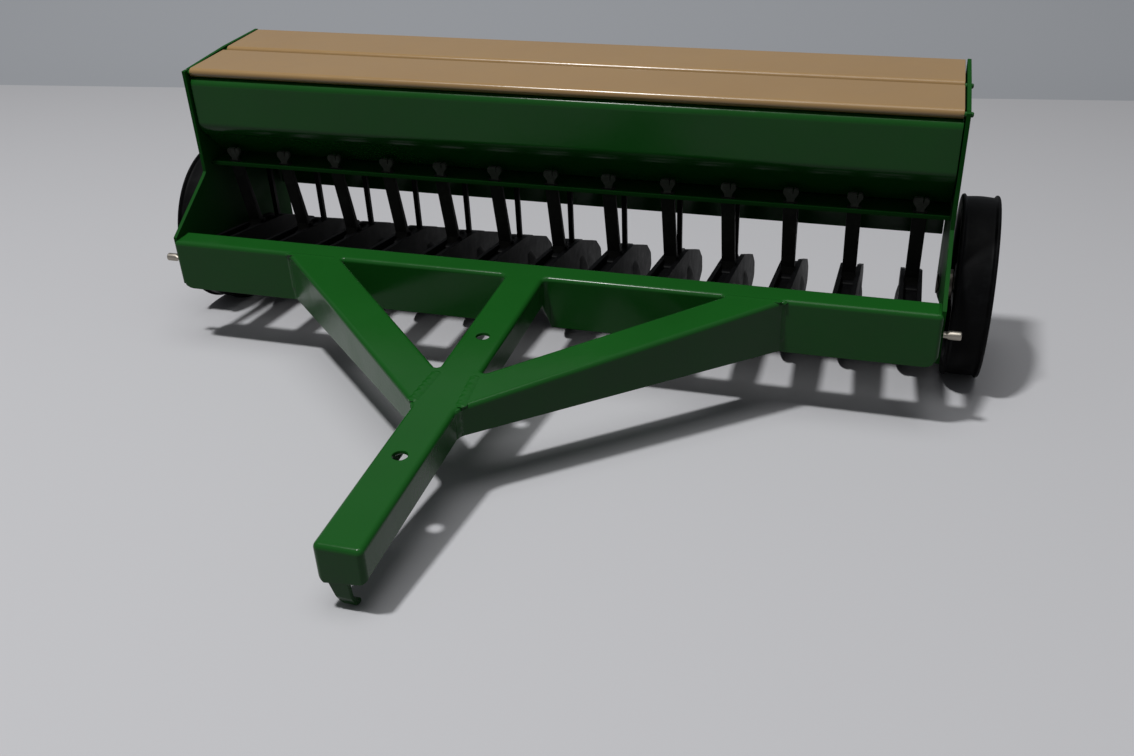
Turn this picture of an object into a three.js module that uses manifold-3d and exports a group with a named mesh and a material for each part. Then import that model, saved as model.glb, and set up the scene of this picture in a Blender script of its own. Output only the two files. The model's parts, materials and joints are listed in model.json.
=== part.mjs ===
// A toy grain drill at about 1:16: a pressed steel frame and tongue, a seed box with two tin lids,
// thirteen moulded openers on a rod and two plastic wheels. Millimetres, +Z up, tongue towards -Y.
//
// The pieces are laid out level first: X across, Y back from the front face of the beam, Z up from
// the beam's top face. The whole toy is then pitched until it stands on its wheels and its hitch hook.
import * as THREE from 'three';
import { mergeVertices } from 'three/addons/utils/BufferGeometryUtils.js';
import Module from 'manifold-3d';

const wasm = await Module();
wasm.setup();

// ---------------------------------------------------------------- driving dimensions
const SHEET = 1.2; // pressed steel sheet
const LID_SHEET = 1.0; // thinner tin of the lids
const BEND = 0.5; // inside radius of a sheet bend
const SEAT_GAP = 0.3; // between pieces that touch
const RUN_GAP = 0.5; // between pieces that move

const FRAME_HALF = 128.7; // outer face of an end plate
const BEAM_STEP = 0.5; // the beam's front wall stops this far inside an end plate's outer face
const BEAM_HALF = FRAME_HALF - BEAM_STEP;
const BEAM_DEEP = 9.1; // front to back
const BEAM_HIGH = 17.9;
const BEAM_LIP = 2.4; // turned-down back edge of the beam
const BEAM_CORNER = 4.0; // rounded lower ends of its front wall
const FRAME_BEND = 0.6; // inside radius of the beam's, braces' and tongue's bends

const TONGUE_WIDE = 12.7;
const TONGUE_FRONT = -136.9;
const TONGUE_WALL = 8.9; // depth of the tongue's sides
const NOSE_HIGH = 11.2; // depth of its closed front end
const NOSE_CORNER = 2.0;
const NOSE_INSET = 0.4; // each side of the nose inside the tongue's sides
const PIN_HOLE = 4.0; // diameter
const PIN_PLACES = [-100.3, -39.3];
const HOOK_WIDE = 5.2;
const HOOK_BEND = 0.9; // inside radius of its bend
const HOOK_PATH = [[0.6, -11.5], [2.0, -18.9], [4.3, -18.5]]; // middle of the strip, behind the tongue's front
const hookLine = HOOK_PATH.map(([back, up]) => [TONGUE_FRONT + back, up]);

const BRACE_WIDE = 12.7;
const BRACE_AT_BEAM = 72.8; // middle of a brace where it meets the beam
const BRACE_AT_TONGUE = -68.0; // and where it meets the tongue's side, along Y

const ROD_RADIUS = 1.35;
const ROD_BACK = 3.3; // rod's centre behind the beam's front face
const ROD_DOWN = 7.8; // and below its top face
const ROD_OUT = 5.2; // bare end beyond the end plate

const PLATE_FOOT_UP = 0.8; // an end plate's sloping edge starts this far above the beam's top
const PLATE_ELBOW = [25.2, 14.4]; // and ends here
const PLATE_FRONT = 26.4; // front edge beside the box
const PLATE_LOW = [[8, -16], [9.5, -6.5], [24, -9], [52, -20.6], [66, -26], [74, -28], [79, -25], [79, -12]];

const BOX_FRONT = 27.5;
const BOX_BACK = 77.4;
const FRONT_TOP = 48.5; // top edge of the front panel
const BACK_TOP = 50.4; // and of the back panel
const BOX_BEND = 31.2; // where the front panel turns in
const PLATE_TOP = [51.6, 52.5, 52.3]; // at the front, at the rear lid's pins and at the back
const FRONT_HEM = 3.0; // turned-in top edge of the front panel
const FLOOR_TOP = 17.9;
const FLOOR_FRONT = 30.4;
const TROUGH_BACK = 40.0; // where the sloping front panel meets the floor
const SKIRT_BOTTOM = -8.0; // lower edge of the back panel
const DIVIDER_BACK = 51.0;
const DIVIDER_TOP = 47.5;
const SEAM_FLANGE = 4.0; // turned-in foot of a panel on the floor

const LID_ROLL = 1.5; // outer radius of a lid's rolled front edge
const LID_LIP = 2.4; // turned-down back edge
const LID_BEND = 0.4;
const LID_GAP = 0.6; // between a lid's end and the end plate
const LID_PIN = 0.8; // radius
const LID_PIN_OUT = 0.8; // beyond the end plate
const FRONT_LID_PIVOT = { y: 28.7, z: 50.6 };
const REAR_LID_PIVOT = { y: 54.0, z: 50.9 };

const WHEEL_RADIUS = 30.0;
const WHEEL_WIDE = 11.8;
const WHEEL_Y = 52.1;
const WHEEL_Z = -15.5;
const WHEEL_OFFSET = 2.5; // between end plate and wheel
const TREAD_DEEP = 0.8; // the tread's edges below its two ribs
const TREAD_CROWN = 0.25; // and how far its middle swells
const TREAD_RIB = 1.2; // width of a rib
const RIM_INSIDE = 24.0; // inner radius of the rim
const RIM_EDGE = 0.6; // chamfer of the tread's edges
const DISH = 3.2; // how far the web lies inside the rim
const HUB_RADIUS = 7.5;
const AXLE_RADIUS = 2.4;
const AXLE_HEAD = 4.2;
const AXLE_RIVET = 3.4; // radius of its flat head inside the end plate
const RIVET_THICK = 0.6;
const AXLE_COLLAR = 5.0;

const OPENERS = 13;
const OPENER_PITCH = 19.71;
const OPENER_WIDE = 7.0;
const CHEEK = 1.5; // thickness of an opener's side
const CHEEK_TOP = [[1, -2.2], [12, -3.2], [40, -8.6], [52, -11.0], [74.5, -21.8], [79.5, -26.5], [80.5, -33]];
const WEB = 1.6; // thickness of the web along the cheeks' lower edge
const CHEEK_BOTTOM = [[72, -36], [60, -34], [46, -24], [30, -17], [12, -11.5], [1, -11]];
const BOOT_INSET = 0.4; // boot and press wheel inside the cheeks' outer faces
const DISC = { y: 47, z: -29, radius: 13, thick: 1.2, toe: THREE.MathUtils.degToRad(7.2), out: 2.5 };
const PRESS_WHEEL = { y: 69, z: -33.5, radius: 12 };
const TUBE_WIDE = 3.5;
const TUBE_DEEP = 2.4; // front to back, at its foot
const NECK_DEEP = 1.6; // and at its head
const TUBE_FOOT = { y: 38.5, z: -9.0 };
const TUBE_HEAD = { y: 32.4, z: 18.4 };
const BARB_NECK = 1.2; // half widths
const BARB_SHOULDER = 2.4;
const BARB_TOP = 2.0;
const BARB_SHOULDER_UP = 2.6; // above the tube's head
const BARB_UP = 4.3;
const PEG_WIDE = 1.7;
const PEG_Y = 53.0;

const ARC_STEPS = 4;

// ---------------------------------------------------------------- worked-out places
const sideInner = FRAME_HALF - SHEET;
const panelHalf = sideInner - SEAT_GAP;
const lidHalf = sideInner - LID_GAP;
const wheelInner = FRAME_HALF + WHEEL_OFFSET;
const wheelOuter = wheelInner + WHEEL_WIDE;
const rod = { y: ROD_BACK, z: -ROD_DOWN };
const backPanelOuter = BOX_BACK - LID_SHEET - RUN_GAP;
const openerX = (index) => (index - (OPENERS - 1) / 2) * OPENER_PITCH;
const tubeAt = (z) => TUBE_FOOT.y + ((z - TUBE_FOOT.z) * (TUBE_HEAD.y - TUBE_FOOT.y)) / (TUBE_HEAD.z - TUBE_FOOT.z);

// ---------------------------------------------------------------- materials
const enamel = new THREE.MeshStandardMaterial({ color: 0x1f6b24, roughness: 0.3, metalness: 0.0 });
const tan = new THREE.MeshStandardMaterial({ color: 0xb4936a, roughness: 0.4, metalness: 0.0 });
const plastic = new THREE.MeshStandardMaterial({ color: 0x17181a, roughness: 0.45, metalness: 0.0 });
const zinc = new THREE.MeshStandardMaterial({ color: 0xb9b9b4, roughness: 0.3, metalness: 1.0 });

// ---------------------------------------------------------------- shape helpers
const lineShape = (points) => new THREE.Shape(points.map(([u, v]) => new THREE.Vector2(u, v)));

// Outline of a sheet of the given thickness whose middle follows a path of [u, v] corners.
function sheetOutline(path, thickness, inside = BEND) {
  const radius = inside + thickness / 2;
  const left = [];
  const right = [];
  const put = (point, tangent) => {
    const side = new THREE.Vector2(-tangent.y, tangent.x).multiplyScalar(thickness / 2);
    left.push(point.clone().add(side));
    right.push(point.clone().sub(side));
  };
  const corners = path.map(([u, v]) => new THREE.Vector2(u, v));
  const heading = (i) => corners[i + 1].clone().sub(corners[i]).normalize();
  put(corners[0], heading(0));
  for (let i = 1; i < corners.length - 1; i += 1) {
    const before = heading(i - 1);
    const after = heading(i);
    const turn = Math.atan2(before.cross(after), before.dot(after));
    const reach = radius * Math.tan(Math.abs(turn) / 2);
    const start = corners[i].clone().addScaledVector(before, -reach);
    const towards = new THREE.Vector2(-before.y, before.x).multiplyScalar(Math.sign(turn) * radius);
    const centre = start.clone().add(towards);
    for (let step = 0; step <= ARC_STEPS; step += 1) {
      const angle = (turn * step) / ARC_STEPS;
      const point = start.clone().rotateAround(centre, angle);
      put(point, before.clone().rotateAround(new THREE.Vector2(), angle));
    }
  }
  put(corners.at(-1), heading(corners.length - 2));
  return new THREE.Shape([...left, ...right.reverse()]);
}

// A shape drawn in (Y, Z), carried along X from one place to another.
function acrossX(shape, from, to, curveSegments = 6) {
  const geometry = new THREE.ExtrudeGeometry(shape, { depth: to - from, bevelEnabled: false, curveSegments });
  const axes = new THREE.Matrix4().makeBasis(
    new THREE.Vector3(0, 1, 0), new THREE.Vector3(0, 0, 1), new THREE.Vector3(1, 0, 0));
  return geometry.applyMatrix4(axes.setPosition(from, 0, 0));
}

// A shape drawn in (X, Z), carried along Y.
function acrossY(shape, from, to) {
  const geometry = new THREE.ExtrudeGeometry(shape, { depth: to - from, bevelEnabled: false });
  const axes = new THREE.Matrix4().makeBasis(
    new THREE.Vector3(1, 0, 0), new THREE.Vector3(0, 0, 1), new THREE.Vector3(0, -1, 0));
  return geometry.applyMatrix4(axes.setPosition(0, to, 0));
}

function boxBetween(x, y, z) {
  const geometry = new THREE.BoxGeometry(x[1] - x[0], y[1] - y[0], z[1] - z[0]);
  return geometry.translate((x[0] + x[1]) / 2, (y[0] + y[1]) / 2, (z[0] + z[1]) / 2);
}

// A turned piece: its profile is [along X, radius], its axis lies along X through (y, z).
function turnedX(profile, y, z, facets) {
  const points = profile.map(([along, radius]) => new THREE.Vector2(radius, along));
  const geometry = new THREE.LatheGeometry(points, facets);
  return geometry.rotateZ(-Math.PI / 2).translate(0, y, z);
}

function pinZ(radius, x, y, z, facets = 24) {
  const geometry = new THREE.CylinderGeometry(radius, radius, z[1] - z[0], facets);
  return geometry.rotateX(Math.PI / 2).translate(x, y, (z[0] + z[1]) / 2);
}

// A round bar along X.
const barX = (radius, from, to, { y, z }, facets) => turnedX(
  [[from, 0], [from, radius], [to, radius], [to, 0]], y, z, facets);

function solid(geometry) {
  const bare = geometry.clone();
  bare.deleteAttribute('normal');
  bare.deleteAttribute('uv');
  const merged = mergeVertices(bare, 1e-4);
  return new wasm.Manifold(new wasm.Mesh({
    numProp: 3,
    vertProperties: new Float32Array(merged.attributes.position.array),
    triVerts: new Uint32Array(merged.index.array),
  }));
}

const join = (...geometries) => geometries.map(solid).reduce((whole, next) => whole.add(next));
const cut = (whole, ...geometries) => geometries.reduce((left, g) => left.subtract(solid(g)), whole);
const keep = (whole, geometry) => whole.intersect(solid(geometry));

function geometryOf(manifold) {
  const { vertProperties, triVerts } = manifold.getMesh();
  const geometry = new THREE.BufferGeometry();
  geometry.setAttribute('position', new THREE.BufferAttribute(new Float32Array(vertProperties), 3));
  geometry.setIndex(new THREE.BufferAttribute(new Uint32Array(triVerts), 1));
  geometry.computeVertexNormals();
  return geometry;
}

const level = new THREE.Group(); // the toy before it is pitched

function add(name, shape, material) {
  const geometry = shape.isBufferGeometry ? shape : geometryOf(shape);
  const mesh = new THREE.Mesh(geometry, material);
  mesh.name = name;
  level.add(mesh);
  return mesh;
}

const SIDES = [['left', -1], ['right', 1]];
const span = (sign, from, to) => (sign > 0 ? [from, to] : [-to, -from]);

// ---------------------------------------------------------------- front beam and end plates
// The front wall runs out over the edges of the end plates; the top lies between them.
function frontBeam() {
  const half = SHEET / 2;
  const path = [
    [half, -BEAM_HIGH - 1], [half, -half], [BEAM_DEEP - half, -half], [BEAM_DEEP - half, -BEAM_LIP]];
  const channel = acrossX(sheetOutline(path, SHEET, FRAME_BEND), -FRAME_HALF - 1, FRAME_HALF + 1);
  const [wide, low, round] = [BEAM_HALF, -BEAM_HIGH, BEAM_CORNER];
  const front = new THREE.Shape();
  front.moveTo(wide, 1);
  front.lineTo(-wide, 1);
  front.lineTo(-wide, low + round);
  front.absarc(-wide + round, low + round, round, Math.PI, 1.5 * Math.PI, false);
  front.lineTo(wide - round, low);
  front.absarc(wide - round, low + round, round, 1.5 * Math.PI, 2 * Math.PI, false);
  front.closePath();
  const ends = [-1, 1].map((sign) => boxBetween(
    span(sign, panelHalf, FRAME_HALF + 2), [SHEET, BEAM_DEEP + 1], [-BEAM_HIGH - 2, 2]));
  return cut(keep(solid(channel), acrossY(front, -1, BEAM_DEEP + 2)), ...ends);
}

// One plate closes the end of the beam and of the seed box and carries the wheel.
function endPlate(sign) {
  const front = SHEET + SEAT_GAP;
  const [top, middle, back] = PLATE_TOP;
  const shape = lineShape([
    [front, PLATE_FOOT_UP], [front, 1 - BEAM_HIGH], ...PLATE_LOW, [BOX_BACK, -2], [BOX_BACK, back],
    [REAR_LID_PIVOT.y, middle], [PLATE_FRONT, top], [PLATE_FRONT, PLATE_ELBOW[1] + 1], PLATE_ELBOW]);
  const plate = solid(acrossX(shape, ...span(sign, sideInner, FRAME_HALF)));
  const through = span(sign, sideInner - 1, FRAME_HALF + 1);
  const pins = [FRONT_LID_PIVOT, REAR_LID_PIVOT].map((pivot) => barX(LID_PIN + SEAT_GAP, ...through, pivot, 20));
  return cut(plate, barX(ROD_RADIUS + SEAT_GAP, ...through, rod, 24),
    barX(AXLE_RADIUS + SEAT_GAP, ...through, { y: WHEEL_Y, z: WHEEL_Z }, 24), ...pins);
}

function pivotRod() {
  const end = FRAME_HALF + ROD_OUT;
  return solid(barX(ROD_RADIUS, -end, end, rod, 16));
}

// ---------------------------------------------------------------- tongue, braces and hook
function tongue() {
  const half = SHEET / 2;
  const edge = TONGUE_WIDE / 2 - half;
  const section = [[-edge, -TONGUE_WALL], [-edge, -half], [edge, -half], [edge, -TONGUE_WALL]];
  const channel = acrossY(sheetOutline(section, SHEET, FRAME_BEND), TONGUE_FRONT + NOSE_INSET, -SEAT_GAP);
  const wide = TONGUE_WIDE / 2 - NOSE_INSET;
  const [low, round] = [-NOSE_HIGH, NOSE_CORNER];
  const face = new THREE.Shape();
  face.moveTo(wide, -SHEET / 4);
  face.lineTo(-wide, -SHEET / 4);
  face.lineTo(-wide, low + round);
  face.absarc(-wide + round, low + round, round, Math.PI, 1.5 * Math.PI, false);
  face.lineTo(wide - round, low);
  face.absarc(wide - round, low + round, round, 1.5 * Math.PI, 2 * Math.PI, false);
  face.closePath();
  const nose = acrossY(face, TONGUE_FRONT, TONGUE_FRONT + SHEET);
  const holes = PIN_PLACES.map((y) => pinZ(PIN_HOLE / 2, 0, y, [-3, 1]));
  return cut(join(channel, nose), ...holes);
}

function hitchHook() {
  return acrossX(sheetOutline(hookLine, SHEET, HOOK_BEND), -HOOK_WIDE / 2, HOOK_WIDE / 2);
}

function brace(sign) {
  const half = SHEET / 2;
  const start = new THREE.Vector2(TONGUE_WIDE / 2 + SEAT_GAP, BRACE_AT_TONGUE);
  const end = new THREE.Vector2(BRACE_AT_BEAM, -SEAT_GAP);
  const run = end.clone().sub(start);
  const edge = BRACE_WIDE / 2 - half;
  const deep = -BEAM_HIGH + 0.4;
  const section = [[-edge, deep], [-edge, -half], [edge, -half], [edge, deep]];
  const spare = 30; // length at each end that is trimmed away below
  const channel = acrossY(sheetOutline(section, SHEET, FRAME_BEND), -spare, run.length() + spare);
  const angle = Math.atan2(run.y, run.x) - Math.PI / 2;
  channel.rotateZ(angle).translate(start.x, start.y, 0);
  // The sides deepen from the tongue's depth to the beam's.
  const front = BRACE_AT_TONGUE - BRACE_WIDE;
  const room = acrossX(lineShape([
    [front, -TONGUE_WALL + 0.6], [-SEAT_GAP, -BEAM_HIGH + 0.5], [-SEAT_GAP, 1],
    [front, 1]]), TONGUE_WIDE / 2 + SEAT_GAP, BRACE_AT_BEAM + spare);
  const whole = keep(solid(channel), room);
  return sign > 0 ? whole : whole.mirror([1, 0, 0]);
}

// ---------------------------------------------------------------- seed box
const panel = (shape) => solid(acrossX(shape, -panelHalf, panelHalf));

function boxFrontPanel() {
  const half = SHEET / 2;
  const foot = FLOOR_TOP + SEAT_GAP + half;
  return panel(sheetOutline([
    [BOX_FRONT + FRONT_HEM, FRONT_TOP - half], [BOX_FRONT + half, FRONT_TOP - half], [BOX_FRONT + half, BOX_BEND],
    [TROUGH_BACK, foot], [TROUGH_BACK + SEAM_FLANGE, foot]], SHEET));
}

function boxBackPanel() {
  const [inner, outer] = [backPanelOuter - SHEET, backPanelOuter];
  return panel(lineShape([
    [inner, SKIRT_BOTTOM], [outer, SKIRT_BOTTOM], [outer, BACK_TOP], [inner, BACK_TOP]]));
}

function boxFloor() {
  const z = [FLOOR_TOP - SHEET, FLOOR_TOP];
  const back = backPanelOuter - SHEET - SEAT_GAP;
  const plate = boxBetween([-panelHalf, panelHalf], [FLOOR_FRONT, back], z);
  const slot = (x, y, wide, deep) => {
    const [w, d] = [wide / 2 + SEAT_GAP, deep / 2 + SEAT_GAP];
    return boxBetween([x - w, x + w], [y - d, y + d], [z[0] - 1, z[1] + 1]);
  };
  const lean = 0.4; // the tubes pass through at a slant
  const slots = Array.from({ length: OPENERS }, (_, i) => [
    slot(openerX(i), tubeAt(FLOOR_TOP - SHEET / 2), TUBE_WIDE, NECK_DEEP + lean),
    slot(openerX(i), PEG_Y, PEG_WIDE, PEG_WIDE)]).flat();
  return cut(solid(plate), ...slots);
}

function boxDivider() {
  const half = SHEET / 2;
  const foot = FLOOR_TOP + SEAT_GAP + half;
  return panel(sheetOutline([
    [DIVIDER_BACK - half, DIVIDER_TOP], [DIVIDER_BACK - half, foot], [DIVIDER_BACK - SEAM_FLANGE, foot]], SHEET));
}

// A lid is a sheet with a rolled front edge round its pins and a lip along its back edge.
function lid(pivot, back) {
  const half = LID_SHEET / 2;
  const top = pivot.z + LID_ROLL - half;
  const sheet = acrossX(sheetOutline([
    [pivot.y, top], [back - half, top], [back - half, top - LID_LIP]], LID_SHEET, LID_BEND), -lidHalf, lidHalf);
  const end = FRAME_HALF + LID_PIN_OUT;
  return join(sheet, barX(LID_ROLL, -lidHalf, lidHalf, pivot, 24), barX(LID_PIN, -end, end, pivot, 12));
}

// ---------------------------------------------------------------- wheels
function wheel(sign) {
  const [inner, outer] = [wheelInner, wheelOuter];
  const r = WHEEL_RADIUS;
  const bore = AXLE_RADIUS + SEAT_GAP;
  const profile = [
    [inner + 1, bore], [inner + 1, HUB_RADIUS], [inner + DISH, HUB_RADIUS + 1], [inner + DISH, RIM_INSIDE - 1],
    [inner + 1, RIM_INSIDE], [inner, RIM_INSIDE + 1], [inner, r - RIM_EDGE], [inner + RIM_EDGE, r],
    [inner + TREAD_RIB, r]];
  const slope = 0.4; // inner flank of a rib
  const steps = 4;
  for (let step = 0; step <= steps; step += 1) {
    const t = step / steps;
    profile.push([inner + TREAD_RIB + slope + t * (WHEEL_WIDE - 2 * (TREAD_RIB + slope)),
      r - TREAD_DEEP + TREAD_CROWN * Math.sin(Math.PI * t)]);
  }
  profile.push([outer - TREAD_RIB, r], [outer - RIM_EDGE, r], [outer, r - RIM_EDGE], [outer, RIM_INSIDE + 1],
    [outer - 1, RIM_INSIDE], [outer - DISH, RIM_INSIDE - 1], [outer - DISH, HUB_RADIUS + 1],
    [outer - 2, HUB_RADIUS], [outer - 2, bore], [inner + 1, bore]);
  const whole = solid(turnedX(profile, WHEEL_Y, WHEEL_Z, 40));
  return sign > 0 ? whole : whole.mirror([1, 0, 0]);
}

// The stub is riveted to the end plate, with a collar outside it and a head outside the wheel.
function axle(sign) {
  const plateSide = sideInner - SEAT_GAP;
  const collar = [FRAME_HALF + SEAT_GAP, wheelInner + 1 - RUN_GAP];
  const head = wheelOuter - 2 + RUN_GAP;
  const profile = [
    [plateSide - RIVET_THICK, 0], [plateSide - RIVET_THICK, AXLE_RIVET], [plateSide, AXLE_RIVET], [plateSide, AXLE_RADIUS],
    [collar[0], AXLE_RADIUS], [collar[0], AXLE_COLLAR], [collar[1], AXLE_COLLAR], [collar[1], AXLE_RADIUS],
    [head, AXLE_RADIUS], [head, AXLE_HEAD], [head + 1.0, 0.8 * AXLE_HEAD], [head + 1.4, 0]];
  const whole = solid(turnedX(profile, WHEEL_Y, WHEEL_Z, 24));
  return sign > 0 ? whole : whole.mirror([1, 0, 0]);
}

// ---------------------------------------------------------------- openers
// One moulding: two cheeks hung on the rod, a boot between them, two discs that toe in towards
// the front, a press wheel, the seed tube with its barbed head and a guide peg.
function opener(index) {
  const x = openerX(index);
  const half = OPENER_WIDE / 2;
  const cheekOutline = lineShape([...CHEEK_TOP, ...CHEEK_BOTTOM]);
  const cheeks = [acrossX(cheekOutline, x - half, x - half + CHEEK), acrossX(cheekOutline, x + half - CHEEK, x + half)];
  const front = CHEEK_BOTTOM.slice(2);
  const web = acrossX(lineShape([...front, ...front.map(([y, z]) => [y, z + WEB]).reverse()]),
    x - half + CHEEK / 2, x + half - CHEEK / 2);
  const wide = half - BOOT_INSET;
  const boot = acrossX(lineShape([
    [34, -8.2], [40, -9.4], [52, -11.8], [66, -18.6], [66, -30], [58, -38], [44, -38], [34, -20]]), x - wide, x + wide);
  const press = barX(PRESS_WHEEL.radius, x - wide, x + wide, PRESS_WHEEL, 24);
  const discs = [-1, 1].map((sign) => {
    const disc = barX(DISC.radius, -DISC.thick / 2, DISC.thick / 2, { y: 0, z: 0 }, 24);
    return disc.rotateZ(-sign * DISC.toe).translate(x + sign * DISC.out, DISC.y, DISC.z);
  });
  const w = TUBE_WIDE / 2;
  const d = TUBE_DEEP / 2;
  const n = NECK_DEEP / 2;
  const foot = TUBE_FOOT.z - 2;
  const tube = acrossX(lineShape([
    [tubeAt(foot) - d, foot], [tubeAt(foot) + d, foot], [TUBE_HEAD.y + n, TUBE_HEAD.z],
    [TUBE_HEAD.y - n, TUBE_HEAD.z]]), x - w, x + w);
  const up = TUBE_HEAD.z;
  const barb = acrossY(lineShape([
    [x - BARB_NECK, up - 1], [x + BARB_NECK, up - 1], [x + BARB_SHOULDER, up + BARB_SHOULDER_UP],
    [x + BARB_TOP, up + BARB_UP], [x - BARB_TOP, up + BARB_UP], [x - BARB_SHOULDER, up + BARB_SHOULDER_UP]]),
  TUBE_HEAD.y - n + 0.1, TUBE_HEAD.y + n - 0.1);
  const p = PEG_WIDE / 2;
  const peg = boxBetween([x - p, x + p], [PEG_Y - p, PEG_Y + p], [-15, FLOOR_TOP + 1.5]);
  const bore = barX(ROD_RADIUS + SEAT_GAP, x - OPENER_WIDE, x + OPENER_WIDE, rod, 12);
  const jaw = boxBetween([x - OPENER_WIDE, x + OPENER_WIDE], [-5, SHEET + SEAT_GAP], [-BEAM_HIGH, 1]);
  return cut(join(...cheeks, web, boot, press, ...discs, tube, barb, peg), bore, jaw);
}

// ---------------------------------------------------------------- the toy
add('front_beam', frontBeam(), enamel);
add('pivot_rod', pivotRod(), zinc);
add('tongue', tongue(), enamel);
add('hitch_hook', hitchHook(), enamel);
for (const [side, sign] of SIDES) {
  add(`end_plate_${side}`, endPlate(sign), enamel);
  add(`brace_${side}`, brace(sign), enamel);
  add(`wheel_${side}`, wheel(sign), plastic);
  add(`axle_${side}`, axle(sign), zinc);
}
add('box_front_panel', boxFrontPanel(), enamel);
add('box_back_panel', boxBackPanel(), enamel);
add('box_floor', boxFloor(), enamel);
add('box_divider', boxDivider(), enamel);
add('front_lid', lid(FRONT_LID_PIVOT, REAR_LID_PIVOT.y - LID_ROLL - RUN_GAP), tan);
add('rear_lid', lid(REAR_LID_PIVOT, BOX_BACK), tan);
for (let i = 0; i < OPENERS; i += 1) {
  add(`opener_${String(i + 1).padStart(2, '0')}`, opener(i), plastic);
}

// ---------------------------------------------------------------- standing attitude
// The toy noses down about its wheels until the first point of the hook's outline reaches the
// line that touches the wheels from below.
const hookOutline = sheetOutline(hookLine, SHEET, HOOK_BEND).getPoints();
const pitch = Math.min(...hookOutline.map((point) => {
  const toWheel = new THREE.Vector2(WHEEL_Y, WHEEL_Z).sub(point);
  return Math.asin(WHEEL_RADIUS / toWheel.length()) - Math.atan2(toWheel.y, toWheel.x);
}));

level.rotation.x = pitch;
const drill = new THREE.Group();
drill.add(level);
drill.updateMatrixWorld(true);
const bounds = new THREE.Box3().setFromObject(drill, true);
const middle = bounds.getCenter(new THREE.Vector3());
level.position.set(-middle.x, -middle.y, -bounds.min.z);
drill.updateMatrixWorld(true);

export default drill;
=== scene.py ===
"""Looks of a toy grain drill: pressed steel in green enamel, two tan tin lids, black moulded
openers hung on a zinc-plated rod, and two black plastic wheels.

Shapes are drawn in millimetres in the toy's own level frame (X across, Y back from the front face
of the beam, Z up from the beam's top) and placed with LEVEL, the way the toy stands."""
import json
import math

import bmesh
import bpy
import numpy as np
from mathutils import Matrix, Vector
from mathutils.geometry import tessellate_polygon


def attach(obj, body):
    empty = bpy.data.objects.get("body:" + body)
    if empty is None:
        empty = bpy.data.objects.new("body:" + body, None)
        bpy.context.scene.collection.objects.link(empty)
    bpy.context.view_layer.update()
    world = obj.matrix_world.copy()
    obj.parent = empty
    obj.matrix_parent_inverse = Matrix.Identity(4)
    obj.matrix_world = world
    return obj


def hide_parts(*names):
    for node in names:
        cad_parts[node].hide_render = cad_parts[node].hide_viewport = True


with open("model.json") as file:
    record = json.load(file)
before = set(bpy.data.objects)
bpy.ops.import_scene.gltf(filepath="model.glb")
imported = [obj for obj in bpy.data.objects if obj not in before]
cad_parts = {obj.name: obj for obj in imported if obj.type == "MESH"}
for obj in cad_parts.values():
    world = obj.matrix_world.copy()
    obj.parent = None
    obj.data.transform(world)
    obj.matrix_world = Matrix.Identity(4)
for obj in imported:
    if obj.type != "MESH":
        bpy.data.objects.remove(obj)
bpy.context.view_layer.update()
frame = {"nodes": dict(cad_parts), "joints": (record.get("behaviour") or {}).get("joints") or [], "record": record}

# ---------------------------------------------------------------- level frame
MM = 0.001
HITCH_MARK = -108.0  # the hitch mount's place along the tongue's top face
hitch = next(m for m in frame["record"]["mounts"] if m["name"] == "hitch_top")
up = Vector(hitch["axis"])
back = up.cross(Vector((1, 0, 0)))
LEVEL = Matrix((Vector((1, 0, 0)), back, up)).transposed().to_4x4()
LEVEL.translation = Vector(hitch["pos_m"]) - back * HITCH_MARK * MM
LEVEL = LEVEL @ Matrix.Scale(MM, 4)


def level_box(node):
    """Lowest and highest corners of a CAD node in the level frame, in millimetres."""
    inverse = LEVEL.inverted()
    points = np.array([inverse @ v.co for v in frame["nodes"][node].data.vertices])
    return Vector(points.min(0)), Vector(points.max(0))


beam_low, beam_high = level_box("front_beam")
tongue_low, tongue_high = level_box("tongue")
box_low, box_high = level_box("box_front_panel")
floor_top = level_box("box_floor")[1].z
rod_low, rod_high = level_box("pivot_rod")
wheel_low, wheel_high = level_box("wheel_right")

SHEET = 1.2
LID_SHEET = 1.0
SAME_POINT = 0.002  # points nearer to each other than this are one point
CREASE = math.radians(38)  # faces that turn by more than this have an edge between them
SHARP = 0.05  # a corner with a radius below this stays a corner
STRAIGHT = 0.02  # and so does one that turns by less than this, in radians
BEAM_HALF = beam_high.x
BEAM_DEEP = beam_high.y
BEAM_LOW = beam_low.z
TONGUE_HALF = tongue_high.x
TONGUE_FRONT = tongue_low.y


# ---------------------------------------------------------------- materials
def linear(code):
    """An sRGB hex colour as linear RGBA."""
    parts = [int(code[i:i + 2], 16) / 255 for i in (1, 3, 5)]
    return [c / 12.92 if c <= 0.04045 else ((c + 0.055) / 1.055) ** 2.4 for c in parts] + [1.0]


def add(tree, kind, inputs=None, **settings):
    """Adds a node with its settings. Inputs are values or other nodes' outputs, by socket name or
    number."""
    made = tree.nodes.new(kind)
    for name, value in settings.items():
        setattr(made, name, value)
    for name, value in (inputs or {}).items():
        if isinstance(value, bpy.types.NodeSocket):
            tree.links.new(value, made.inputs[name])
        else:
            made.inputs[name].default_value = value
    return made


def new_material(name):
    material = bpy.data.materials.new(name)
    material.use_nodes = True
    tree = material.node_tree
    tree.nodes.clear()
    place = add(tree, "ShaderNodeTexCoord").outputs["Object"]
    return material, tree, place


def per_metre(millimetres):
    """Noise scale whose features are about this big."""
    return 1000.0 / millimetres


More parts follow.
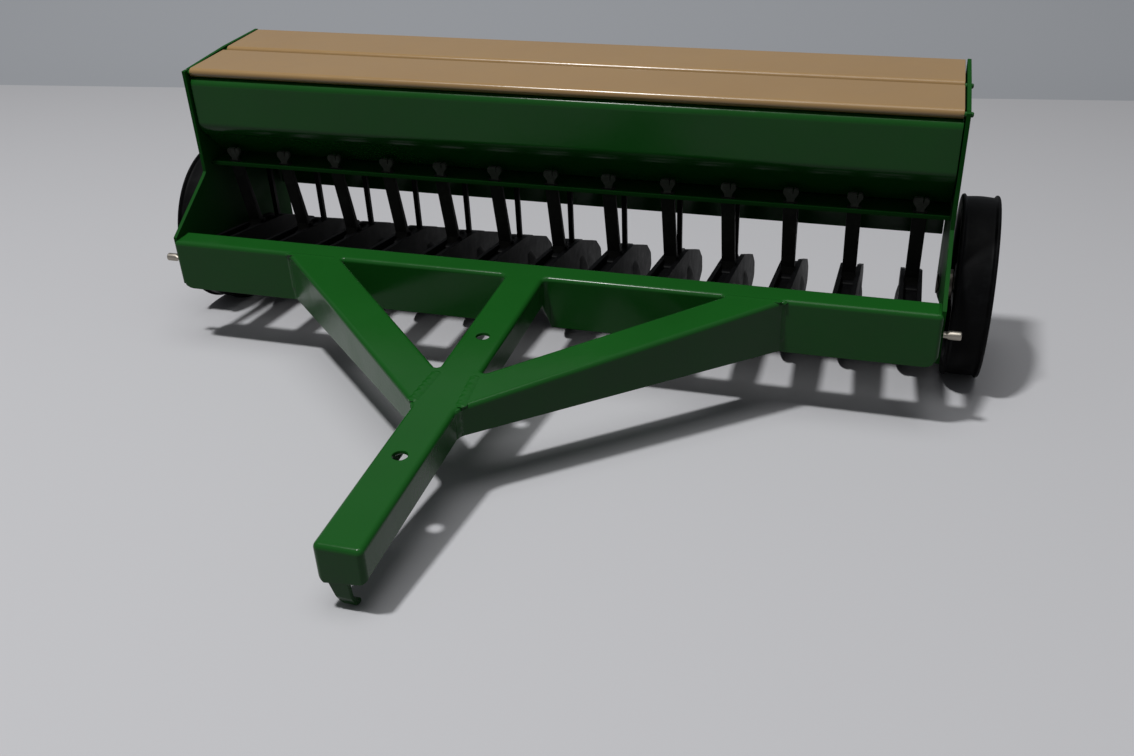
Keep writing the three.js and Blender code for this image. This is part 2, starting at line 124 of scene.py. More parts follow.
def enamel(name, colour, deep, roughness, peel, shine):
    """Enamel sprayed on pressed steel and stoved: a smooth gloss film with a faint orange peel that breaks up its
    reflections, and slight drifts in gloss."""
    material, tree, place = new_material(name)
    drift = add(tree, "ShaderNodeTexNoise", {"Vector": place, "Scale": per_metre(38), "Detail": 2.0})
    tint = add(tree, "ShaderNodeMix", {
        "Factor": drift.outputs["Fac"], "A": linear(deep), "B": linear(colour)}, data_type="RGBA")
    cloud = add(tree, "ShaderNodeTexNoise", {"Vector": place, "Scale": per_metre(9), "Detail": 3.0})
    gloss = add(tree, "ShaderNodeMapRange", {
        "Value": cloud.outputs["Fac"], "From Min": 0.3, "From Max": 0.7,
        "To Min": roughness - 0.04, "To Max": roughness + 0.05})
    # Orange peel of real enamel is 1 to 2 mm across and a few hundredths of a millimetre deep.
    skin = add(tree, "ShaderNodeTexNoise", {"Vector": place, "Scale": per_metre(1.7), "Detail": 1.5})
    bump = add(tree, "ShaderNodeBump", {
        "Height": skin.outputs["Fac"], "Strength": 1.0, "Distance": peel * MM})
    paint = add(tree, "ShaderNodeBsdfPrincipled", {
        "Base Color": tint.outputs["Result"], "Roughness": gloss.outputs["Result"],
        "Normal": bump.outputs["Normal"], "IOR": 1.5, "Specular IOR Level": shine})
    add(tree, "ShaderNodeOutputMaterial", {"Surface": paint.outputs["BSDF"]})
    return material


def moulded_plastic(name, colour, rubbed, roughness):
    """Black polyethylene straight from the mould: satin, with fine texture from the tool and paler
    scuffs where it has been handled."""
    material, tree, place = new_material(name)
    scuff = add(tree, "ShaderNodeTexNoise", {
        "Vector": place, "Scale": per_metre(4), "Detail": 5.0, "Roughness": 0.7})
    rub = add(tree, "ShaderNodeMapRange", {"Value": scuff.outputs["Fac"], "From Min": 0.5, "From Max": 0.8})
    tint = add(tree, "ShaderNodeMix", {
        "Factor": rub.outputs["Result"], "A": linear(colour), "B": linear(rubbed)}, data_type="RGBA")
    gloss = add(tree, "ShaderNodeMapRange", {
        "Value": scuff.outputs["Fac"], "From Min": 0.3, "From Max": 0.7,
        "To Min": roughness - 0.06, "To Max": roughness + 0.08})
    # Tool texture is about 0.1 mm; drawn at 0.5 mm so that it shows.
    grain = add(tree, "ShaderNodeTexNoise", {"Vector": place, "Scale": per_metre(0.5), "Detail": 2.0})
    bump = add(tree, "ShaderNodeBump", {
        "Height": grain.outputs["Fac"], "Strength": 1.0, "Distance": 0.02 * MM})
    body = add(tree, "ShaderNodeBsdfPrincipled", {
        "Base Color": tint.outputs["Result"], "Roughness": gloss.outputs["Result"],
        "Normal": bump.outputs["Normal"], "IOR": 1.51, "Specular IOR Level": 0.06})
    add(tree, "ShaderNodeOutputMaterial", {"Surface": body.outputs["BSDF"]})
    return material


def zinc_plate(name, colour, dull, roughness):
    """Drawn steel wire with bright zinc plating: silvery, with fine drawing marks round it and a
    slightly cloudy bloom."""
    material, tree, place = new_material(name)
    along = add(tree, "ShaderNodeMapping", {"Vector": place, "Scale": (0.15, 1.0, 1.0)})
    marks = add(tree, "ShaderNodeTexNoise", {
        "Vector": along.outputs["Vector"], "Scale": per_metre(0.4), "Detail": 4.0})
    bloom = add(tree, "ShaderNodeTexNoise", {"Vector": place, "Scale": per_metre(3), "Detail": 3.0})
    tint = add(tree, "ShaderNodeMix", {
        "Factor": bloom.outputs["Fac"], "A": linear(dull), "B": linear(colour)}, data_type="RGBA")
    gloss = add(tree, "ShaderNodeMapRange", {
        "Value": marks.outputs["Fac"], "From Min": 0.3, "From Max": 0.7,
        "To Min": roughness - 0.06, "To Max": roughness + 0.1})
    bump = add(tree, "ShaderNodeBump", {
        "Height": marks.outputs["Fac"], "Strength": 1.0, "Distance": 0.01 * MM})
    metal = add(tree, "ShaderNodeBsdfPrincipled", {
        "Base Color": tint.outputs["Result"], "Metallic": 1.0, "Roughness": gloss.outputs["Result"],
        "Normal": bump.outputs["Normal"]})
    add(tree, "ShaderNodeOutputMaterial", {"Surface": metal.outputs["BSDF"]})
    return material


green = enamel("green_stoved_enamel", "#1B5B1F", "#17501A", 0.2, 0.025, 0.19)
# Matt enamel for the end plates, which keeps grazing reflections off their inner faces; its darker colour is
# painted shade for those faces.
matt_shaded_green = enamel("green_stoved_enamel_matt_with_painted_shade", "#174F1A", "#134517", 0.6, 0.03, 0.05)
# A darker green for the box floor: painted shade, as its front edge lies in the shade of the front panel.
painted_shade_green = enamel("green_stoved_enamel_darkened_for_shade", "#113C14", "#0E3411", 0.6, 0.03, 0.03)
tan = enamel("tan_stoved_enamel", "#A68658", "#9E7D50", 0.22, 0.02, 0.5)
black = moulded_plastic("black_moulded_polyethylene", "#0B0B0C", "#151617", 0.48)
# A paler grey plastic for the seed tubes' heads.
grey = moulded_plastic("pale_grey_polyethylene", "#484944", "#6A6B66", 0.55)
# A dark grey plastic, a little lighter than the openers, for the seed tubes.
smoky = moulded_plastic("dark_grey_polyethylene", "#272725", "#3A3A37", 0.5)
zinc = zinc_plate("bright_zinc_plated_wire", "#ADA69B", "#8C867C", 0.38)


# ---------------------------------------------------------------- mesh helpers
def merged(parts):
    """Several (points, faces) shells as one."""
    points, faces = [], []
    for part_points, part_faces in parts:
        shift = len(points)
        points += [Vector(p) for p in part_points]
        faces += [[i + shift for i in face] for face in part_faces]
    return points, faces


def slab(outline, left, right):
    """An outline of (y, z) points carried along X."""
    count = len(outline)
    points = [Vector((x, y, z)) for x in (left, right) for y, z in outline]
    faces = [list(range(count)), list(range(2 * count - 1, count - 1, -1))]
    faces += [[i, (i + 1) % count, count + (i + 1) % count, count + i] for i in range(count)]
    return points, faces


def slab_y(outline, front, behind):
    """An outline of (x, z) points carried along Y."""
    points, faces = slab(outline, front, behind)
    return [Vector((p.y, p.x, p.z)) for p in points], faces


def turned(profile, y, z, steps, closed=False):
    """A profile of (x, radius) points turned about the line along X through (y, z)."""
    points, faces = [], []
    count = len(profile)
    for k in range(steps):
        angle = 2 * math.pi * k / steps
        points += [Vector((x, y + r * math.cos(angle), z + r * math.sin(angle))) for x, r in profile]
    for k in range(steps):
        a, b = k * count, ((k + 1) % steps) * count
        faces += [[a + i, a + i + 1, b + i + 1, b + i] for i in range(count - 1)]
        if closed:
            faces.append([a + count - 1, a, b, b + count - 1])
    if not closed:
        faces.append([k * count for k in range(steps)])
        faces.append([k * count + count - 1 for k in reversed(range(steps))])
    return points, faces


def sheet_outline(path, thickness, inside, steps=8):
    """Outline of a sheet whose middle follows a path of corners, bent with this inside radius, or
    with one for each corner."""
    bends = inside if isinstance(inside, list) else [inside] * len(path)
    left, right = [], []

    def put(point, tangent):
        side = Vector((-tangent.y, tangent.x)) * thickness / 2
        left.append(point + side)
        right.append(point - side)

    corners = [Vector(p) for p in path]
    heading = [(b - a).normalized() for a, b in zip(corners, corners[1:])]
    put(corners[0], heading[0])
    for i in range(1, len(corners) - 1):
        before, after = heading[i - 1], heading[i]
        radius = bends[i - 1] + thickness / 2
        turn = math.atan2(before.x * after.y - before.y * after.x, before.dot(after))
        start = corners[i] - before * radius * math.tan(abs(turn) / 2)
        centre = start + Vector((-before.y, before.x)) * math.copysign(radius, turn)
        for step in range(steps + 1):
            spin = Matrix.Rotation(turn * step / steps, 2)
            put(centre + spin @ (start - centre), spin @ before)
    put(corners[-1], heading[-1])
    return [tuple(p) for p in left + right[::-1]]


def corner_arc(last, here, following, radius, steps):
    """The points of a round corner, or the corner itself where it is sharp or hardly turns."""
    before = (here - last).normalized()
    after = (following - here).normalized()
    turn = math.atan2(before.x * after.y - before.y * after.x, before.dot(after))
    if radius < SHARP or abs(turn) < STRAIGHT:
        return [here]
    start = here - before * radius * math.tan(abs(turn) / 2)
    centre = start + Vector((-before.y, before.x)) * math.copysign(radius, turn)
    return [centre + Matrix.Rotation(turn * step / steps, 2) @ (start - centre) for step in range(steps + 1)]


def new_object(name, data):
    made = bpy.data.objects.new(name, data)
    bpy.context.scene.collection.objects.link(made)
    return made


def clean(mesh, gap):
    """Joins the points that coincide and turns every face outwards."""
    work = bmesh.new()
    work.from_mesh(mesh)
    bmesh.ops.remove_doubles(work, verts=work.verts, dist=gap)
    bmesh.ops.recalc_face_normals(work, faces=work.faces)
    work.to_mesh(mesh)
    work.free()


def plain_mesh(made):
    """The object's mesh with its modifiers worked in."""
    return bpy.data.meshes.new_from_object(made.evaluated_get(bpy.context.evaluated_depsgraph_get()))


def piece(name, shape, material, body="frame", replaces=(), round_edges=0.0, placed=False):
    """Makes an object of a shape, rounds its edges and hangs it on its CAD body."""
    points, faces = shape
    mesh = bpy.data.meshes.new(name)
    mesh.from_pydata(points, [], faces)
    if not placed:
        mesh.transform(LEVEL)
    clean(mesh, SAME_POINT * MM)
    mesh.materials.append(material)
    mesh.polygons.foreach_set("use_smooth", [True] * len(mesh.polygons))
    made = new_object(name, mesh)
    if round_edges:
        bevel = made.modifiers.new("rounded edges", "BEVEL")
        bevel.width = round_edges * MM
        bevel.segments = 3
        bevel.limit_method = "ANGLE"
        bevel.angle_limit = CREASE
        bevel.use_clamp_overlap = True
    else:
        mesh.set_sharp_from_angle(angle=CREASE)
    flat = made.modifiers.new("flat faces stay flat", "WEIGHTED_NORMAL")
    flat.keep_sharp = True
    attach(made, body)
    if replaces:
        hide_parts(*replaces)
    return made


def softened(node, name, material, round_edges, body="frame"):
    """A CAD node's own shape with its edges rounded."""
    copy = bmesh.new()
    copy.from_mesh(frame["nodes"][node].data)
    bmesh.ops.remove_doubles(copy, verts=copy.verts, dist=SAME_POINT * MM)
    bmesh.ops.dissolve_limit(
        copy, angle_limit=math.radians(0.5), verts=copy.verts, edges=copy.edges)
    copy.verts.index_update()
    shape = [v.co.copy() for v in copy.verts], [[v.index for v in f.verts] for f in copy.faces]
    copy.free()
    return piece(name, shape, material, body, (node,), round_edges, placed=True)


def block(x, y, z):
    """A box between two places on each axis."""
    return slab([(y[0], z[0]), (y[1], z[0]), (y[1], z[1]), (y[0], z[1])], x[0], x[1])


def mirrored(shape):
    """The same shape on the other side of the toy's middle."""
    points, faces = shape
    return [Vector((-p[0], p[1], p[2])) for p in points], [face[::-1] for face in faces]


# ---------------------------------------------------------------- welded frame
# Beam, braces and tongue are flush on top and painted as one, so they are one skin: a plan outline
# with two openings, whose edge rolls over into side walls of the sheet's thickness.
PIN_PLACES = (-100.3, -39.3)
PIN_HOLE = 4.0
BRACE_WIDE = 12.7
BRACE_START = Vector((6.65, -68.0))
BRACE_END = Vector((72.8, -0.3))
BRACE_DROP = 0.4  # a brace's side hangs this much below the tongue's where they meet
BRACE_RISE = 0.5  # and ends this much above the beam's lower edge
HEAD_SHIFT = 1.8  # the left brace's outer edge and its welds are this much farther out at the beam
WALL = -8.9  # depth of the tongue's sides
ROLL = 1.5  # outside radius of the top edges
LOWER_CORNER = 4.0  # rounded lower ends of the beam's front
NOSE_CORNER = 1.6


def meet(p, d, q, e):
    """Where two lines cross."""
    k = ((q.x - p.x) * e.y - (q.y - p.y) * e.x) / (d.x * e.y - d.y * e.x)
    return p + d * k


def rounded_loop(corners, steps=6):
    """Corners (x, y, radius, depth before, depth after) as points (x, y, depth)."""
    loop = []
    for i, (x, y, radius, low_in, low_out) in enumerate(corners):
        last, following = Vector(corners[i - 1][:2]), Vector(corners[(i + 1) % len(corners)][:2])
        arc = corner_arc(last, Vector((x, y)), following, radius, steps)
        for step, point in enumerate(arc):
            t = step / max(1, len(arc) - 1)
            loop.append((point, low_in + (low_out - low_in) * t))
    return loop


def edge_skin(loop, rows_for):
    """Rows of points round a loop: rows_for(depth) gives (inset, z) pairs, material on the left."""
    points, faces = [], []
    count = len(loop)
    for i, (here, low) in enumerate(loop):
        before = (here - loop[i - 1][0]).normalized()
        after = (loop[(i + 1) % count][0] - here).normalized()
        inward = (Vector((-before.y, before.x)) + Vector((-after.y, after.x))).normalized()
        inward /= max(0.4, inward.dot(Vector((-after.y, after.x))))
        rows = rows_for(low)
        points += [Vector((*(here + inward * inset), z)) for inset, z in rows]
    deep = len(rows)
    for i in range(count):
        a, b = i * deep, ((i + 1) % count) * deep
        faces += [[a + k, a + k + 1, b + k + 1, b + k] for k in range(deep - 1)]
    first = [i * deep for i in range(count)]
    return points, faces, first, [i + deep - 1 for i in first]


def sheet_rows(low, steps=5, ease=0.3):
    """A rolled top edge, a wall down to this depth with eased lips, and back up inside it."""
    quarter = [math.radians(90 * k / steps) for k in range(steps + 1)]
    outer = [(ROLL - ROLL * math.sin(a), ROLL * math.cos(a) - ROLL) for a in quarter]
    inner = ROLL - SHEET
    inside = [(ROLL - inner * math.cos(a), inner * math.sin(a) - ROLL) for a in quarter]
    return outer + [(0, low + ease), (0.3 * ease, low + 0.3 * ease), (ease, low), (SHEET - ease, low),
                    (SHEET - 0.3 * ease, low + 0.3 * ease), (SHEET, low + ease)] + inside


def hole_rows(low):
    """A punched hole through the sheet, a little rounded where the punch went in."""
    return [(0.35, 0), (0.1, -0.08), (0, -0.3), (0, 0.2 - SHEET), (0.2, -SHEET)]


def outer_edge(foot, head, shift):
    """Corners of the right side, from the brace's foot by way of its head to the beam's end."""
    trim = [(BEAM_HALF - LOWER_CORNER * (1 - math.sin(a)), BEAM_LOW + LOWER_CORNER * (1 - math.cos(a)))
            for a in (0, 0.35, 0.7)]
    return [
        (*foot, 5.0, WALL, WALL - BRACE_DROP),
        (head.x + shift, head.y, 2.0, BEAM_LOW + BRACE_RISE, BEAM_LOW),
        *[(x, 0, 0, low, low) for x, low in trim],
        (BEAM_HALF, 0, 1.2, BEAM_LOW + 1.6, BEAM_LOW + LOWER_CORNER),
        (BEAM_HALF, BEAM_DEEP, 1.0, BEAM_LOW + 5, beam_high.z - 2.4)]


def flipped(corners):
    """The same corners on the left side, in the order in which a loop meets them there."""
    return [(-x, y, radius, after, before) for x, y, radius, before, after in reversed(corners)]


def welded_frame():
    along = (BRACE_END - BRACE_START).normalized()
    outward = Vector((along.y, -along.x)) * BRACE_WIDE / 2
    side, front = (Vector((TONGUE_HALF, 0)), Vector((0, 1))), (Vector((0, 0)), Vector((1, 0)))
    outer_foot = meet(BRACE_START + outward, along, *side)
    outer_head = meet(BRACE_START + outward, along, *front)
    inner_foot = meet(BRACE_START - outward, along, *side)
    inner_head = meet(BRACE_START - outward, along, *front)
    fall = BEAM_LOW + BRACE_RISE - WALL + BRACE_DROP
    inner_low = WALL - BRACE_DROP + fall * (1 - inner_foot.y / outer_foot.y)
    nose = [(-TONGUE_HALF, TONGUE_FRONT, NOSE_CORNER, WALL, tongue_low.z),
            (TONGUE_HALF, TONGUE_FRONT, NOSE_CORNER, tongue_low.z + 1, WALL)]
    right = outer_edge(outer_foot, outer_head, 0)
    left = flipped(outer_edge(outer_foot, outer_head, HEAD_SHIFT))
    window = [
        (TONGUE_HALF, 0, 1.8, WALL, BEAM_LOW),
        (*inner_head, 0.5, BEAM_LOW, BEAM_LOW + BRACE_RISE),
        (*inner_foot, 0.9, inner_low, WALL)]
    other = flipped(window)
    loops = [(rounded_loop(nose + right + left), sheet_rows), (rounded_loop(window), sheet_rows),
             (rounded_loop(other), sheet_rows)]
    for y in PIN_PLACES:
        ring = [(Vector((PIN_HOLE / 2 * math.cos(a), y - PIN_HOLE / 2 * math.sin(a))), 0)
                for a in np.linspace(0, 2 * math.pi, 32, endpoint=False)]
        loops.append((ring, hole_rows))
    points, faces, tops, unders = [], [], [], []
    for loop, rows_for in loops:
        ring_points, ring_faces, first, last = edge_skin(loop, rows_for)
        shift = len(points)
        points += ring_points
        faces += [[i + shift for i in face] for face in ring_faces]
        tops.append([i + shift for i in first])
        unders.append([i + shift for i in last])
    for rings in (tops, unders):
        flat = [i for ring in rings for i in ring]
        faces += [[flat[k] for k in triangle]
                  for triangle in tessellate_polygon([[points[i] for i in ring] for ring in rings])]
    return points, faces


piece("welded_frame", welded_frame(), green,
      replaces=("front_beam", "tongue", "brace_left", "brace_right"))

# The hitch hook is a strip that runs on down from the nose, narrows and curls back.
hook_low, hook_high = level_box("hitch_hook")
HOOK_TOP = -9.5
HOOK_WIDE, HOOK_NARROWS = 1.08, 0.48  # share of the CAD strip's width at the top, and lost on the way down
HOOK_ASIDE, HOOK_DRIFT = -1.3, 1.6  # sideways place at the top, and how far it drifts on the way down
hook_line = [(-136.3, HOOK_TOP), (-136.0, -15.0), (-134.6, hook_low.z + 1.0), (-132.6, hook_low.z + 0.75)]
hook_points, hook_faces = slab(sheet_outline(hook_line, SHEET, 1.2), hook_low.x, hook_high.x)
for point in hook_points:
    t = (HOOK_TOP - point.z) / (HOOK_TOP - hook_low.z)
    point.x = point.x * (HOOK_WIDE - HOOK_NARROWS * t) + HOOK_ASIDE + HOOK_DRIFT * t
piece("hitch_hook_strip", (hook_points, hook_faces), green, replaces=("hitch_hook",),
      round_edges=0.3)

# ---------------------------------------------------------------- welds
def weld(start, end, outward, width, height):
    """A run of weld along a line: low crescents that overlap, smoothed over by paint."""
    start, outward = Vector(start), Vector(outward).normalized()
    length = (Vector(end) - start).length
    along = (Vector(end) - start).normalized()
    across = along.cross(outward)
    steps, ribs = max(6, round(length / 0.2)), 10
    points, faces = [], []
    for i in range(steps + 1):
        s = length * i / steps
        taper = min(1.0, 0.45 + s / 1.5, 0.45 + (length - s) / 1.5)
        half = width / 2 * taper * (0.92 + 0.08 * math.sin(2.3 * s))
        for k in range(ribs + 1):
            v = 2 * k / ribs - 1
            crescent = math.sin(2 * math.pi * (s / 2.1 + 0.3 * v * v) + 1.1 * math.sin(0.9 * s))
            rise = height * taper * (1 - v * v) * (0.84 + 0.1 * crescent + 0.06 * math.sin(1.3 * s))
            points.append(start + along * s + across * v * half + outward * (rise - 0.04))
        points += [start + along * s + across * half * side - outward * 0.4 for side in (1, -1)]
    ring = ribs + 3
    for i in range(steps):
        a, b = i * ring, (i + 1) * ring
        faces += [[a + k, a + (k + 1) % ring, b + (k + 1) % ring, b + k] for k in range(ring)]
    return points, faces + [list(range(ring)), [steps * ring + k for k in reversed(range(ring))]]


# The runs on the right side: start, end, the way each one faces, its width, its height, and whether
# it goes out with the brace's head on the left side.
WELD_RUNS = (
    ((TONGUE_HALF - 0.7, -60.6, 0), (TONGUE_HALF + 0.5, -76.6, 0), (0, 0, 1), 3.4, 0.36, False),
    ((TONGUE_HALF + 0.4, -77.2, -0.3), (TONGUE_HALF + 0.4, -77.2, -8.6), (0.93, -0.38, 0), 3.4, 0.6, False),
    ((5.8, -60.2, -0.7), (8.2, -61.4, -0.7), (0, 0.9, 0.45), 2.0, 0.8, False),
    ((64.5, -0.3, 0), (81.5, -0.3, 0), (0, 0, 1), 2.2, 0.16, True),
    ((82.2, -0.1, -1.6), (82.2, -0.1, -14.0), (0.39, -0.92, 0), 2.2, 0.3, True),
    ((81.4, -0.6, -0.35), (83.2, 0.1, -0.35), (0, -0.6, 0.8), 1.5, 0.4, True),
    ((62.6, -0.2, -0.35), (64.2, -0.2, -0.35), (0, -0.6, 0.8), 1.3, 0.4, True),
    ((126.6, 0.4, -0.45), (127.6, 1.4, -0.45), (0.4, -0.4, 0.8), 1.3, 0.35, False))

welds = []
for sign in (-1, 1):
    for run_start, run_end, facing, width, height, at_head in WELD_RUNS:
        shift = HEAD_SHIFT if sign < 0 and at_head else 0
        ends = [(sign * (x + shift), y, z) for x, y, z in (run_start, run_end)]
        welds.append(weld(*ends, (sign * facing[0], facing[1], facing[2]), width, height))
piece("weld_beads", merged(welds), green)


# ---------------------------------------------------------------- repeated pieces
def grown(name, start, tree, values, replaces=()):
    """Runs a node tree on a start mesh and keeps the result as a plain piece of the frame body."""
    points, edges, faces = start
    mesh = bpy.data.meshes.new(name)
    mesh.from_pydata(points, edges, faces)
    mesh.transform(LEVEL)
    made = new_object(name, mesh)
    growth = made.modifiers.new("growth", "NODES")
    growth.node_group = tree
    names = {item.name: item.identifier for item in tree.interface.items_tree if item.in_out == "INPUT"}
    for label, value in values.items():
        growth[names[label]] = value
    result = plain_mesh(made)
    made.modifiers.clear()
    made.data = result
    result.name = name
    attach(made, "frame")
    if replaces:
        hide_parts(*replaces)
    return made


# ---------------------------------------------------------------- end plates and seed box
# The end plates in the matt green, darker as painted shade on their inner faces.
for side in ("left", "right"):
    softened(f"end_plate_{side}", f"end_plate_{side}_sheet", matt_shaded_green, 0.3)

TROUGH_BACK = 40.0
BOX_BEND = 31.2  # height of the bend above the sloping part
HEM = 3.0  # how far the top edge is turned in
HEM_RISE = 0.4  # how far the turned edge stands above the CAD sheet
FLOOR_GAP = 0.3  # the sheet's foot stands this much above the floor
FOOT = 4.0  # how far the foot reaches back
half = SHEET / 2
floor_line = floor_top + FLOOR_GAP + half
hem_line = box_high.z + HEM_RISE - half
front_panel = sheet_outline([
    (box_low.y + HEM, hem_line), (box_low.y + half, hem_line), (box_low.y + half, BOX_BEND),
    (TROUGH_BACK, floor_line), (TROUGH_BACK + FOOT, floor_line)], SHEET, [1.5, 5.0, 1.5])
piece("box_front_sheet", slab(front_panel, box_low.x, box_high.x), green,
      replaces=("box_front_panel",), round_edges=0.25)
softened("box_back_panel", "box_back_sheet", green, 0.3)
softened("box_divider", "box_divider_sheet", green, 0.2)
# The box floor takes the darker green, painted shade under the front panel.
softened("box_floor", "box_floor_sheet", painted_shade_green, 0.4)


# ---------------------------------------------------------------- lids
LID_ROLL = 1.5  # outside radius of the rolled front edge
LID_DROP = 2.4  # how far the back edge is turned down
LID_SHIFT = 0.7  # the rolled edge sits this far behind the hinge axis
LID_CLEAR = 2.6  # what the tin stops short of the pins' ends, which reach through the end plates
PIN = 0.8
PIN_CHAMFER = 0.3


def lid_section(high, pivot):
    """Turned-down back edge, flat top, and a front edge rolled almost closed about this centre."""
    middle = LID_ROLL - LID_SHEET / 2
    top = pivot[1] + middle
    back_line = high.y - LID_SHEET / 2
    path = [(back_line, top - LID_DROP), (back_line, top)]
    path += [(pivot[0] - middle * math.sin(a), pivot[1] + middle * math.cos(a))
             for a in np.linspace(0, math.radians(285), 20)]
    return sheet_outline(path, LID_SHEET, 0.35, steps=4)


for node in ("front_lid", "rear_lid"):
    high = level_box(node)[1]
    hinge = next(j for j in frame["joints"] if j["name"] == f"{node}_hinge")
    axis = LEVEL.inverted() @ Vector(hinge["pos_m"])
    wide = high.x - LID_CLEAR
    section = lid_section(high, (axis.y + LID_SHIFT, axis.z))
    piece(f"{node}_tin", slab(section, -wide, wide), tan, node, (node,), 0.2)
    profile = [(wide - 1, PIN), (high.x - PIN_CHAMFER, PIN), (high.x, PIN - PIN_CHAMFER)]
    pin = turned(profile, axis.y, axis.z, 24)
    piece(f"{node}_pins", merged([pin, mirrored(pin)]), green, node)

# ---------------------------------------------------------------- rod and axles
rod_y, rod_z = (rod_low.y + rod_high.y) / 2, (rod_low.z + rod_high.z) / 2
rod_radius = (rod_high.z - rod_low.z) / 2
end = rod_high.x
CRIMP = 0.62  # height of the crimp, as a share of the rod's


def crimped_rod():
    """Round wire, pinched flat just outside each end plate to hold it in place."""
    shares = ((0, 0.82), (0.25, 1), (3.4, 1), (4.2, CRIMP), (5.2, CRIMP), (5.9, 1))
    stations = [(x - end, share) for x, share in shares]
    stations += [(-x, share) for x, share in reversed(stations)]
    points, faces = turned([(x, rod_radius) for x, _ in stations], rod_y, rod_z, 32)
    for k, p in enumerate(points):
        squeeze = stations[k % len(stations)][1]
        p.z = rod_z + (p.z - rod_z) * squeeze
        p.y = rod_y + (p.y - rod_y) * (1 if abs(p.x) < end - 0.1 else squeeze)
    return points, faces


piece("pivot_rod_wire", crimped_rod(), zinc, replaces=("pivot_rod",), round_edges=0.15)
for side in ("left", "right"):
    softened(f"axle_{side}", f"axle_{side}_stub", zinc, 0.25)


# ---------------------------------------------------------------- wheels
WHEEL_BORE = 2.7
WHEEL_RIM = 24.0  # inside radius of the rim
TREAD_RIB = 1.2  # width of the rib along each side of the tread
TREAD_DEEP = 0.8  # the tread lies this much below the ribs
TREAD_CROWN = 0.25
HUB_INNER, HUB_OUTER = 1.0, 2.0  # how deep the hub's two faces lie in the wheel


def wheel_side(hub, radius):
    """One side of a wheel from its bore out to the tread, as depths from that side and radii."""
    rib, rim = TREAD_RIB, WHEEL_RIM
    return [
        (hub, WHEEL_BORE), (hub, 7.2), (hub + 0.4, 7.7), (3.0, 8.4), (3.2, 9.2), (3.2, rim - 2.4),
        (2.8, rim - 1.4), (1.0, rim - 0.3), (0.2, rim + 0.8), (0, rim + 1.6), (0, radius - 0.6),
        (0.2, radius - 0.2), (0.6, radius), (rib - 0.25, radius), (rib, radius - 0.2),
        (rib + 0.25, radius - 0.65), (rib + 0.6, radius - TREAD_DEEP)]


def wheel_section(inner, outer, radius):
    """A slightly crowned tread between two low ribs, a thick rim and a dished web."""
    side = TREAD_RIB + 0.6
    tread = [(inner + side + (outer - inner - 2 * side) * t,
              radius - TREAD_DEEP + TREAD_CROWN * math.sin(math.pi * t)) for t in np.linspace(0, 1, 13)[1:-1]]
    return ([(inner + deep, r) for deep, r in wheel_side(HUB_INNER, radius)] + tread
            + [(outer - deep, r) for deep, r in reversed(wheel_side(HUB_OUTER, radius))])


wheel_centre = (wheel_low + wheel_high) / 2
wheel_radius = (wheel_high.y - wheel_low.y) / 2
wheel = turned(
    wheel_section(wheel_low.x, wheel_high.x, wheel_radius), wheel_centre.y, wheel_centre.z, 128, True)
piece("wheel_right_moulding", wheel, black, "wheel_right", ("wheel_right",))
piece("wheel_left_moulding", mirrored(wheel), black, "wheel_left", ("wheel_left",))

# ---------------------------------------------------------------- openers
OPENERS = 13
PITCH = 19.71
WIDE = 3.5  # half width of an opener
CHEEK = 1.5
INSIDE = WIDE - 0.7  # half width of what stands between the cheeks
TUBE_HALF = 2.2
HEAD_BACK = 32.4  # the seed tubes' heads stand this far back
BARB_HALF = 0.7  # half thickness of a head
GRIP = rod_radius + 0.25  # radius of the clip's jaw round the rod
WHEEL_BACK, WHEEL_UP = 68.7, -33.5  # centre of an opener's press wheel
DISC_BACK, DISC_UP = 47.0, -29.0  # centre of its two discs
DISC_OUT = 2.5  # each disc stands this far to its side
DISC_TOE = math.radians(-7.2)  # the discs close in towards the front


def smooth_line(points, rounds):
    """A closed outline with its corners rounded, each by its own radius."""
    loop = []
    for i, (corner, radius) in enumerate(zip(points, rounds)):
        last, following = Vector(points[i - 1]), Vector(points[(i + 1) % len(points)])
        loop += [tuple(point) for point in corner_arc(last, Vector(corner), following, radius, 5)]
    return loop


def cheek_outline():
    """The side of an opener: a jaw that clips over the rod, an arm, and a shoe for the press wheel."""
    jaw = [(rod_y + GRIP * math.cos(a), rod_z + GRIP * math.sin(a))
           for a in np.linspace(-math.pi / 2, math.pi / 2, 9)]
    return smooth_line(
        [(1.7, rod_z + GRIP), (1.7, -2.4), (12, -3.3), (40, -8.7), (52, -11.1), (73.5, -21.2), (79.5, -27),
         (80.3, -33), (72, -36), (60, -34), (46, -24), (30, -17), (12, -11.6), (1.7, -11),
         (1.7, rod_z - GRIP)],
        [0.2, 0.4, 8, 12, 10, 4, 3, 2, 3, 4, 6, 8, 4, 0.6, 0.2]) + jaw


def press_wheel(x):
    """A narrow wheel with a rounded tread."""
    half_side = [(-INSIDE, 2), (-INSIDE, 9.5), (0.3 - INSIDE, 11.2), (-1.6, 12)]
    profile = half_side + [(0, 12.15)] + [(-along, r) for along, r in reversed(half_side)]
    return turned([(x + along, r) for along, r in profile], WHEEL_BACK, WHEEL_UP, 48)


def disc(x, sign):
    """A thin disc with a hub and a bevelled edge, toed in."""
    points, faces = turned([(-0.9, 4), (-0.6, 4.6), (-0.55, 11.5), (-0.1, 13), (0.1, 13), (0.6, 11.5),
                            (0.65, 4.6), (0.95, 4)], 0, 0, 48)
    centre = Matrix.Translation((x + sign * DISC_OUT, DISC_BACK, DISC_UP))
    toe = centre @ Matrix.Rotation(sign * DISC_TOE, 4, "Z")
    return [toe @ p for p in points], faces


